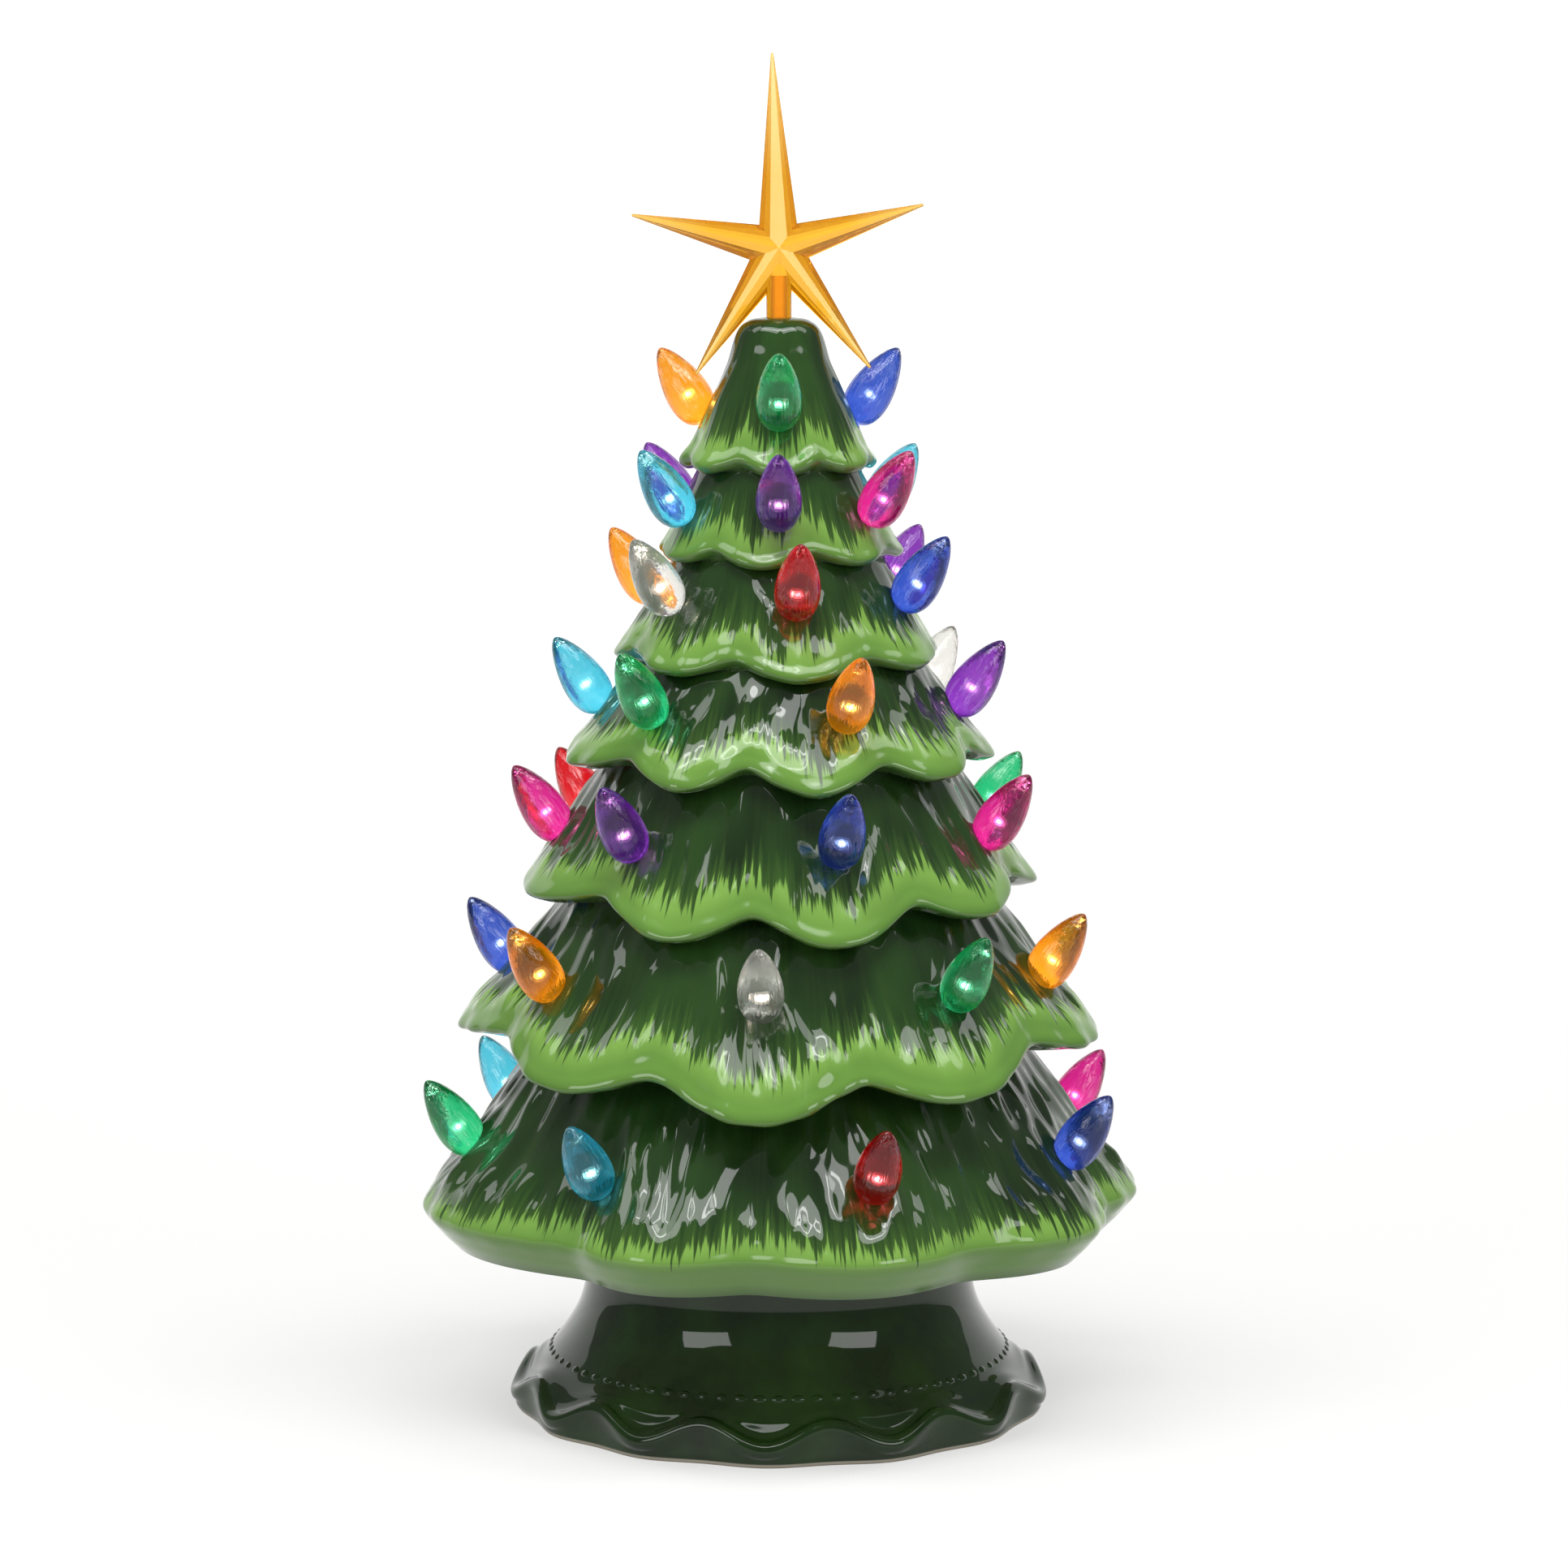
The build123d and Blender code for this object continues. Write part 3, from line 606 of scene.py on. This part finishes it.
def darkGlaze():
    # one thick coat of glaze in slow clouds of two dark greens, with a bare clay rim at the foot
    look = baseLook
    material = startMaterial("dark_green_glaze_on_earthenware")
    coords = addNode(material, "ShaderNodeTexCoord")
    place = addNode(material, "ShaderNodeSeparateXYZ", {}, {0: coords.outputs["Object"]})
    clouds = addNode(material, "ShaderNodeTexNoise", {}, {
        "Vector": coords.outputs["Object"], "Scale": 1 / (look["cloudSize"] * mm), "Detail": 3.0})
    low, high = look["cloudSpan"]
    spread = addNode(material, "ShaderNodeMapRange", {}, {0: clouds.outputs[0], 1: low, 2: high})
    green = addNode(material, "ShaderNodeMix", {"data_type": "RGBA"}, {
        0: spread.outputs[0], 6: linear(look["deepGreen"]), 7: linear(look["darkGreen"])})
    low, high = look["rim"]
    rim = addNode(material, "ShaderNodeMapRange", {}, {
        0: place.outputs["Z"], 1: low * mm, 2: high * mm, 3: 1.0, 4: 0.0})
    colour = addNode(material, "ShaderNodeMix", {"data_type": "RGBA"}, {
        0: rim.outputs[0], 6: green.outputs[2], 7: linear(look["bareClay"])})
    rough = addNode(material, "ShaderNodeMapRange", {}, {
        0: rim.outputs[0], 3: look["roughness"], 4: look["clayRoughness"]})
    return endMaterial(material, {
        "Base Color": colour.outputs[2], "Roughness": rough.outputs[0], "IOR": look["index"]})


baseGlaze = darkGlaze()
finishPiece(baseSkin(), "base_unit", baseGlaze, ("base_shell",))
finishPiece(beadRow(), "base_unit", baseGlaze)
print("base and bead row made")


# Bulbs: one egg for each solid bulb of the frame

bulbShape = {
    "foot": 7.8,        # mm from the stem's end to the underside of the egg
    "radius": 6.3,
    "widest": 0.34,
    "roundness": 0.58,
    "columns": 32,
    "rows": 26,
    "apart": 40.0,      # mm between the flow lines of two bulbs
    # radius in mm, cover and brightness of the nested haze
    "glowShells": [(0.6, 0.6, 8.0), (1.1, 0.25, 2.2), (1.8, 0.08, 1.0)],
    "glowPlace": 0.36,
    "glowColumns": 14,
    "glowRows": 9,
}
bulbLook = {
    "grain": (1.3, 9.0),        # mm across and along one flow line in the moulding
    "grainBump": 0.4,
    "bumpHeight": 0.8,
    "paleSpan": (0.58, 0.72),
    "paleCover": 0.25,
    "litSpan": (4.0, 20.0),     # mm from the stem's end over which the glow fades
    "lit": 0.3,
    "litUnlike": {"clear": 0.0, "amber": 0.5},
    "litTip": 0.03,
    "roughness": 0.04,
    "index": 1.47,
    "transmission": 0.95,
    "hazeTones": ("#fff0dc", "#ffffff"),
}
bulbColours = {  # the tint of light that passes, and of the glow in the body
    "red": ("#dc1822", "#c8000c"), "amber": ("#f8a024", "#f89400"), "green": ("#30c884", "#00a050"),
    "blue": ("#3c5cc4", "#1830a4"), "aqua": ("#58cce4", "#0898b8"), "violet": ("#8c3cb8", "#5c109c"),
    "pink": ("#dc2890", "#c0006c"), "clear": ("#f4f2ec", "#d8d4c8"),
}


def bulbLines(node):
    # stem end and tip of every bulb: triangles that share corners are one bulb, its long axis is the main
    # direction of its corners
    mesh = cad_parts[node].data
    points = np.empty(len(mesh.vertices) * 3, np.float32)
    mesh.vertices.foreach_get("co", points)
    corners = np.empty(len(mesh.loops), np.int32)
    mesh.loops.foreach_get("vertex_index", corners)
    places, shared = np.unique(np.round(points.reshape(-1, 3), 5), axis=0, return_inverse=True)
    faces = shared.ravel()[corners].reshape(-1, 3)
    label = np.arange(len(places))
    settled = False
    while not settled:
        lowest = label.copy()
        np.minimum.at(lowest, faces.ravel(), np.repeat(label[faces].min(axis=1), 3))
        settled = bool((lowest == label).all())
        label = lowest
    lines = []
    for name in np.unique(label):
        island = places[label == name].astype(float)
        middle = island.mean(axis=0)
        axis = np.linalg.svd(island - middle)[2][0]
        axis = axis * np.sign(axis[2])
        reach = (island - middle) @ axis
        lines.append((middle + reach.min() * axis, middle + reach.max() * axis))
    return lines


def sweptRound(name, lines, along, radius, columns):
    # the same round profile on every line: along runs from the first point to the second, in metres
    turn = np.arange(columns) * 2 * np.pi / columns
    allPoints, allQuads, allFlow, start = [], [], [], 0
    rows = len(along)
    index = np.arange(rows * columns).reshape(rows, columns)
    quads = np.stack([index[:-1], np.roll(index[:-1], -1, axis=1),
                      np.roll(index[1:], -1, axis=1), index[1:]], axis=-1).reshape(-1, 4)
    for first, second in lines:
        axis = (second - first) / np.linalg.norm(second - first)
        side = np.cross(axis, (0, 0, 1))
        side = side / np.linalg.norm(side)
        ahead = np.cross(axis, side)
        spokes = np.cos(turn)[:, None] * side + np.sin(turn)[:, None] * ahead
        points = first + along[:, None, None] * axis + radius[:, None, None] * spokes
        allPoints.append(points.reshape(-1, 3))
        allQuads.append(quads + start)
        # millimetres round and along each bulb, set apart so that no two share their lines
        own = np.stack([radius[:, None] * np.cos(turn) / mm, radius[:, None] * np.sin(turn) / mm,
                        along[:, None] / mm + 0 * turn], axis=-1)
        allFlow.append(own.reshape(-1, 3) + (len(allFlow) * bulbShape["apart"], 0, 0))
        start += rows * columns
    piece = meshFromFaces(name, np.concatenate(allPoints), np.concatenate(allQuads))
    addAttribute(piece, "flow", np.concatenate(allFlow))
    return piece


def castAcrylic(colourName, passing, glowing):
    # clear coloured acrylic, moulded and polished: pale flow lines and a body lit from its stem
    look = bulbLook
    material = startMaterial(f"moulded_acrylic_{colourName}")
    flow = addNode(material, "ShaderNodeAttribute", {"attribute_name": "flow"})
    parts = addNode(material, "ShaderNodeSeparateXYZ", {}, {0: flow.outputs["Vector"]})
    across, long = look["grain"]
    scaled = addNode(material, "ShaderNodeVectorMath", {"operation": "MULTIPLY"},
                     {0: flow.outputs["Vector"], 1: (1 / across, 1 / across, 1 / long)})
    lines = addNode(material, "ShaderNodeTexNoise", {}, {
        "Vector": scaled.outputs[0], "Scale": 1.0, "Detail": 2.0, "Distortion": 0.8})
    bump = addNode(material, "ShaderNodeBump", {}, {
        "Height": lines.outputs[0], "Strength": look["grainBump"], "Distance": look["bumpHeight"] * mm})
    low, high = look["paleSpan"]
    pale = addNode(material, "ShaderNodeMapRange", {}, {
        0: lines.outputs[0], 1: low, 2: high, 4: look["paleCover"]})
    tint = addNode(material, "ShaderNodeMix", {"data_type": "RGBA"}, {
        0: pale.outputs[0], 6: linear(passing), 7: linear("#ffffff")})
    # the light from the stem fades towards the tip
    low, high = look["litSpan"]
    lit = addNode(material, "ShaderNodeMapRange", {}, {
        0: parts.outputs["Z"], 1: low, 2: high,
        3: look["litUnlike"].get(colourName, look["lit"]), 4: look["litTip"]})
    return endMaterial(material, {
        "Base Color": tint.outputs[2], "Roughness": look["roughness"], "IOR": look["index"],
        "Transmission Weight": look["transmission"], "Emission Color": linear(glowing),
        "Emission Strength": lit.outputs[0], "Normal": bump.outputs[0]})


def glowingHaze(number, cover, brightness):
    # light piped up the stem and scattered in the plastic: a soft white spot low in each bulb
    material = startMaterial(f"lit_haze_in_acrylic_{number}")
    coords = addNode(material, "ShaderNodeTexCoord")
    grain = addNode(material, "ShaderNodeTexNoise", {}, {
        "Vector": coords.outputs["Object"], "Scale": 1 / mm})
    warm, white = bulbLook["hazeTones"]
    colour = addNode(material, "ShaderNodeMix", {"data_type": "RGBA"}, {
        0: grain.outputs[0], 6: linear(warm), 7: linear(white)})
    return endMaterial(material, {
        "Base Color": colour.outputs[2], "Emission Color": colour.outputs[2], "Roughness": 1.0,
        "Specular IOR Level": 0.0, "Emission Strength": brightness, "Alpha": cover})


def eggProfile():
    # radius is a power of a sine of a power of the share along it, widest below the middle
    s = bulbShape
    share = 0.5 - 0.5 * np.cos(np.linspace(0, np.pi, s["rows"]))
    power = math.log(0.5) / math.log(s["widest"])
    swell = np.sin(np.pi * share ** power).clip(0) ** s["roundness"]
    return share, swell * s["radius"]


allLines = []
foot = bulbShape["foot"] * mm
eggShare, eggRadius = eggProfile()
for colourName, (passing, glowing) in bulbColours.items():
    node = f"bulbs_{colourName}"
    lines = bulbLines(node)
    allLines += lines
    whole = np.linalg.norm(lines[0][1] - lines[0][0])
    along = foot + eggShare * (whole - foot)
    bulb = sweptRound(f"bulb_group_{colourName}", lines, along, eggRadius * mm, bulbShape["columns"])
    finishPiece(bulb, "tree", castAcrylic(colourName, passing, glowing), (node,))
arc = np.linspace(0, np.pi, bulbShape["glowRows"])
whole = np.linalg.norm(allLines[0][1] - allLines[0][0])
centre = foot + bulbShape["glowPlace"] * (whole - foot)
for number, (size, cover, brightness) in enumerate(bulbShape["glowShells"], 1):
    glow = sweptRound(f"bulb_glow_{number}", allLines, centre - np.cos(arc) * size * mm,
                      np.sin(arc) * size * mm, bulbShape["glowColumns"])
    finishPiece(glow, "tree", glowingHaze(number, cover, brightness))
print(f"{len(allLines)} bulbs made")


# Star: the frame's own solid in amber acrylic

starLook = {
    "band": "#fbc038",
    "bevelPaintedShade": "#d09416",
    "tip": "#f9dc88",
    # painted glow: a light of its own that brightens the star, which is no lamp
    "glow": "#f0a000",
    "paintedGlowStrength": 0.09,
    "middleBelowTip": 53.2,  # mm from the top point down to the middle of the star
    "thin": (20.0, 56.0),    # mm from the middle between which the arms go pale
    "flat": (0.72, 0.88),    # how squarely a face looks to the front, from the bevel's painted shade to the band
    "cloudSize": 6.0,
    "cloudBump": 0.1,
    "bumpHeight": 0.6,
    "roughness": 0.05,
    "index": 1.49,
    "transmission": 0.82,
}


def amberAcrylic():
    # moulded amber acrylic: the flat band of each arm is honey yellow, the steep bevels get a painted shade
    # of deeper amber, a painted glow lightens the whole star, and the thin tips go pale
    look = starLook
    material = startMaterial("moulded_amber_acrylic")
    coords = addNode(material, "ShaderNodeTexCoord")
    middle = (0.0, 0.0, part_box("star_topper")[1][2] - look["middleBelowTip"] * mm)
    away = addNode(material, "ShaderNodeVectorMath", {"operation": "DISTANCE"}, {
        0: coords.outputs["Object"], 1: middle})
    low, high = look["thin"]
    thin = addNode(material, "ShaderNodeMapRange", {}, {
        0: away.outputs["Value"], 1: low * mm, 2: high * mm})
    shape = addNode(material, "ShaderNodeNewGeometry")
    facing = addNode(material, "ShaderNodeSeparateXYZ", {}, {0: shape.outputs["True Normal"]})
    flat = addNode(material, "ShaderNodeMath", {"operation": "ABSOLUTE"}, {0: facing.outputs["Y"]})
    low, high = look["flat"]
    band = addNode(material, "ShaderNodeMapRange", {}, {0: flat.outputs[0], 1: low, 2: high})
    clouds = addNode(material, "ShaderNodeTexNoise", {}, {
        "Vector": coords.outputs["Object"], "Scale": 1 / (look["cloudSize"] * mm), "Detail": 2.0})
    # faces turned away from the front get the bevel's painted shade
    faceWithPaintedShade = addNode(material, "ShaderNodeMix", {"data_type": "RGBA"}, {
        0: band.outputs[0], 6: linear(look["bevelPaintedShade"]), 7: linear(look["band"])})
    tint = addNode(material, "ShaderNodeMix", {"data_type": "RGBA"}, {
        0: thin.outputs[0], 6: faceWithPaintedShade.outputs[2], 7: linear(look["tip"])})
    bump = addNode(material, "ShaderNodeBump", {}, {
        "Height": clouds.outputs[0], "Strength": look["cloudBump"], "Distance": look["bumpHeight"] * mm})
    return endMaterial(material, {
        "Base Color": tint.outputs[2], "Roughness": look["roughness"], "IOR": look["index"],
        "Transmission Weight": look["transmission"], "Emission Color": linear(look["glow"]),
        "Emission Strength": look["paintedGlowStrength"], "Normal": bump.outputs[0]})


def dressNode(node, material):
    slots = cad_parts[node].data.materials
    slots.clear()
    slots.append(material)


dressNode("star_topper", amberAcrylic())
print("star dressed")


# Light unit: the frame's own solids, each in its finish

unitLooks = {
    # node: material name, first and second colour, roughness, metallic, transmission, grain in mm
    "lamp_housing": ("moulded_white_abs", "#e9e8e4", "#f4f3ef", 0.45, 0.0, 0.0, 0.8),
    "lamp_deck": ("moulded_white_abs_deck", "#e4e3df", "#f1f0ec", 0.5, 0.0, 0.0, 0.8),
    "battery_door": ("moulded_white_abs_door", "#e9e8e4", "#f4f3ef", 0.45, 0.0, 0.0, 0.8),
    "deck_screws": ("zinc_plated_steel", "#b9bbbd", "#d2d4d6", 0.3, 1.0, 0.0, 0.5),
    "door_hinge_pin": ("drawn_steel_pin", "#b4b6b8", "#cccfd1", 0.25, 1.0, 0.0, 0.5),
    "contact_plates": ("nickel_plated_steel", "#b8b5ac", "#d3d0c8", 0.28, 1.0, 0.0, 0.7),
    "led_board": ("solder_masked_fibreglass", "#1d5a34", "#26683f", 0.35, 0.0, 0.0, 1.4),
    "leds": ("cast_epoxy_lens", "#f3ead0", "#fdf6e2", 0.15, 0.0, 0.4, 0.6),
    "diffuser_dome": ("frosted_polycarbonate", "#eceeee", "#fbfcfc", 0.55, 0.0, 0.5, 0.6),
    "battery_cells": ("printed_cell_wrap", "#2a2d33", "#383c44", 0.3, 0.0, 0.0, 3.0),
    "switch_body": ("moulded_black_nylon", "#17181a", "#232427", 0.5, 0.0, 0.0, 0.6),
    "switch_knob": ("moulded_black_nylon_knob", "#1b1c1e", "#2a2b2e", 0.45, 0.0, 0.0, 0.5),
}
unitGrain = {"bump": 0.08, "bumpHeight": 0.3}


def grainedFinish(name, first, second, rough, metal, passes, grain):
    # fine grain of two close tones with a slight bump: moulded, plated or printed as its name says
    material = startMaterial(name)
    coords = addNode(material, "ShaderNodeTexCoord")
    speck = addNode(material, "ShaderNodeTexNoise", {}, {
        "Vector": coords.outputs["Object"], "Scale": 1 / (grain * mm), "Detail": 3.0})
    colour = addNode(material, "ShaderNodeMix", {"data_type": "RGBA"}, {
        0: speck.outputs[0], 6: linear(first), 7: linear(second)})
    bump = addNode(material, "ShaderNodeBump", {}, {
        "Height": speck.outputs[0], "Strength": unitGrain["bump"], "Distance": unitGrain["bumpHeight"] * mm})
    return endMaterial(material, {
        "Base Color": colour.outputs[2], "Roughness": rough, "Metallic": metal,
        "Transmission Weight": passes, "Normal": bump.outputs[0]})


for node, finish in unitLooks.items():
    dressNode(node, grainedFinish(*finish))
print("light unit dressed")


# Stage: white sweep, soft boxes, camera

stage = {
    "floorSide": 3.2,
    "wallAt": 2.3,
    "wallHeight": 2.6,
    "bend": 0.7,
    "floorRows": 40,
    "bendRows": 17,
    "columns": 41,
    "white": "#b4b4b2",
    "lift": (0.5, 0.86),   # near the object, and at the wall
    "liftFrom": (0.1, 1.6),
    "worldGrey": 0.27,
    # soft boxes: degrees round from the front and up, width and height in metres, watts
    "boxes": [(-40.0, 66.0, 1.05, 0.6, 9.5), (40.0, 66.0, 1.05, 0.6, 9.5),
              (-40.0, 66.0, 0.9, 0.07, 2.2), (40.0, 66.0, 0.9, 0.07, 2.2),
              (-92.0, 54.0, 0.5, 0.6, 3.0), (92.0, 54.0, 0.5, 0.6, 3.0),
              (-43.0, 19.0, 0.8, 0.5, 5.5), (44.0, 19.0, 0.8, 0.5, 5.5)],
    "boxAway": 1.65,
    "tubeTall": 0.1,       # a lamp less tall than this is the tube before a box's diffuser
    "tubeAhead": 0.02,
    "aim": (0.0, 0.0, 0.17),
    "cameraAt": (0.0014, -1.340, 0.342),
    "cameraDown": 7.05,
    "sensor": 36.0,
    "lens": 110.94,
}


def whitePaper():
    # matt white paper: takes the shadow, and a little light of its own where it is seen lifts it to white
    s = stage
    material = startMaterial("matt_white_paper")
    path = addNode(material, "ShaderNodeLightPath")
    seen = addNode(material, "ShaderNodeMath", {"operation": "MAXIMUM"}, {
        0: path.outputs["Is Camera Ray"], 1: path.outputs["Is Glossy Ray"]})
    seenToo = addNode(material, "ShaderNodeMath", {"operation": "MAXIMUM"}, {
        0: seen.outputs[0], 1: path.outputs["Is Transmission Ray"]})
    coords = addNode(material, "ShaderNodeTexCoord")
    place = addNode(material, "ShaderNodeSeparateXYZ", {}, {0: coords.outputs["Object"]})
    near, wall = s["liftFrom"]
    far = addNode(material, "ShaderNodeMapRange", {}, {
        0: place.outputs["Y"], 1: near, 2: wall, 3: s["lift"][0], 4: s["lift"][1]})
    lift = addNode(material, "ShaderNodeMath", {"operation": "MULTIPLY"}, {
        0: seenToo.outputs[0], 1: far.outputs[0]})
    return endMaterial(material, {
        "Base Color": linear(s["white"]), "Roughness": 0.9, "Specular IOR Level": 0.0,
        "Emission Color": linear("#ffffff"), "Emission Strength": lift.outputs[0]})


def sweep():
    # flat floor that bends up into a wall behind: a line in the YZ plane carried along X
    s = stage
    start, bend = s["wallAt"] - s["bend"], s["bend"]
    turn = np.linspace(0, np.pi / 2, s["bendRows"])
    floor = np.linspace(-s["floorSide"], start, s["floorRows"], endpoint=False)
    y = np.concatenate([floor, start + bend * np.sin(turn), [s["wallAt"]]])[:, None]
    z = np.concatenate([0 * floor, bend - bend * np.cos(turn), [s["wallHeight"]]])[:, None]
    across = np.linspace(-s["floorSide"], s["floorSide"], s["columns"])
    points = np.stack([across + 0 * y, y + 0 * across, z + 0 * across], axis=-1)
    rows, columns = points.shape[:2]
    index = np.arange(rows * columns).reshape(rows, columns)
    quads = np.stack([index[:-1, :-1], index[:-1, 1:], index[1:, 1:], index[1:, :-1]], axis=-1)
    piece = meshFromFaces("white_sweep", points.reshape(-1, 3), quads.reshape(-1, 4))
    piece.data.materials.append(whitePaper())


def studio():
    s = stage
    world = bpy.data.worlds.new("studio")
    bpy.context.scene.world = world
    world.use_nodes = True
    world.node_tree.nodes.clear()
    path = addNode(world, "ShaderNodeLightPath")
    grey = s["worldGrey"]
    tone = addNode(world, "ShaderNodeMix", {"data_type": "RGBA"}, {
        0: path.outputs["Is Camera Ray"], 6: (grey, grey, grey, 1), 7: (1, 1, 1, 1)})
    background = addNode(world, "ShaderNodeBackground", {}, {"Color": tone.outputs[2], "Strength": 1.0})
    addNode(world, "ShaderNodeOutputWorld", {}, {"Surface": background.outputs[0]})
    for number, (azimuth, rise, wide, tall, power) in enumerate(s["boxes"], 1):
        lamp = bpy.data.lights.new(f"soft_box_{number}", "AREA")
        lamp.shape = "RECTANGLE"
        lamp.size, lamp.size_y = wide, tall
        lamp.energy = power
        holder = bpy.data.objects.new(lamp.name, lamp)
        bpy.context.scene.collection.objects.link(holder)
        a, e = math.radians(azimuth), math.radians(rise)
        away = s["boxAway"] - (s["tubeAhead"] if tall < s["tubeTall"] else 0)
        holder.location = (s["aim"][0] + away * math.cos(e) * math.sin(a),
                           s["aim"][1] - away * math.cos(e) * math.cos(a),
                           s["aim"][2] + away * math.sin(e))
        holder.rotation_euler = (math.pi / 2 - e, 0, a)
    eye = bpy.data.cameras.new("front_camera")
    eye.sensor_width = s["sensor"]
    eye.lens = s["lens"]
    holder = bpy.data.objects.new("front_camera", eye)
    bpy.context.scene.collection.objects.link(holder)
    holder.location = s["cameraAt"]
    holder.rotation_euler = (math.radians(90 - s["cameraDown"]), 0, 0)
    bpy.context.scene.camera = holder
    bpy.context.scene.view_settings.view_transform = "Standard"


sweep()
studio()
print("stage, lights and camera set")

bpy.context.view_layer.update()
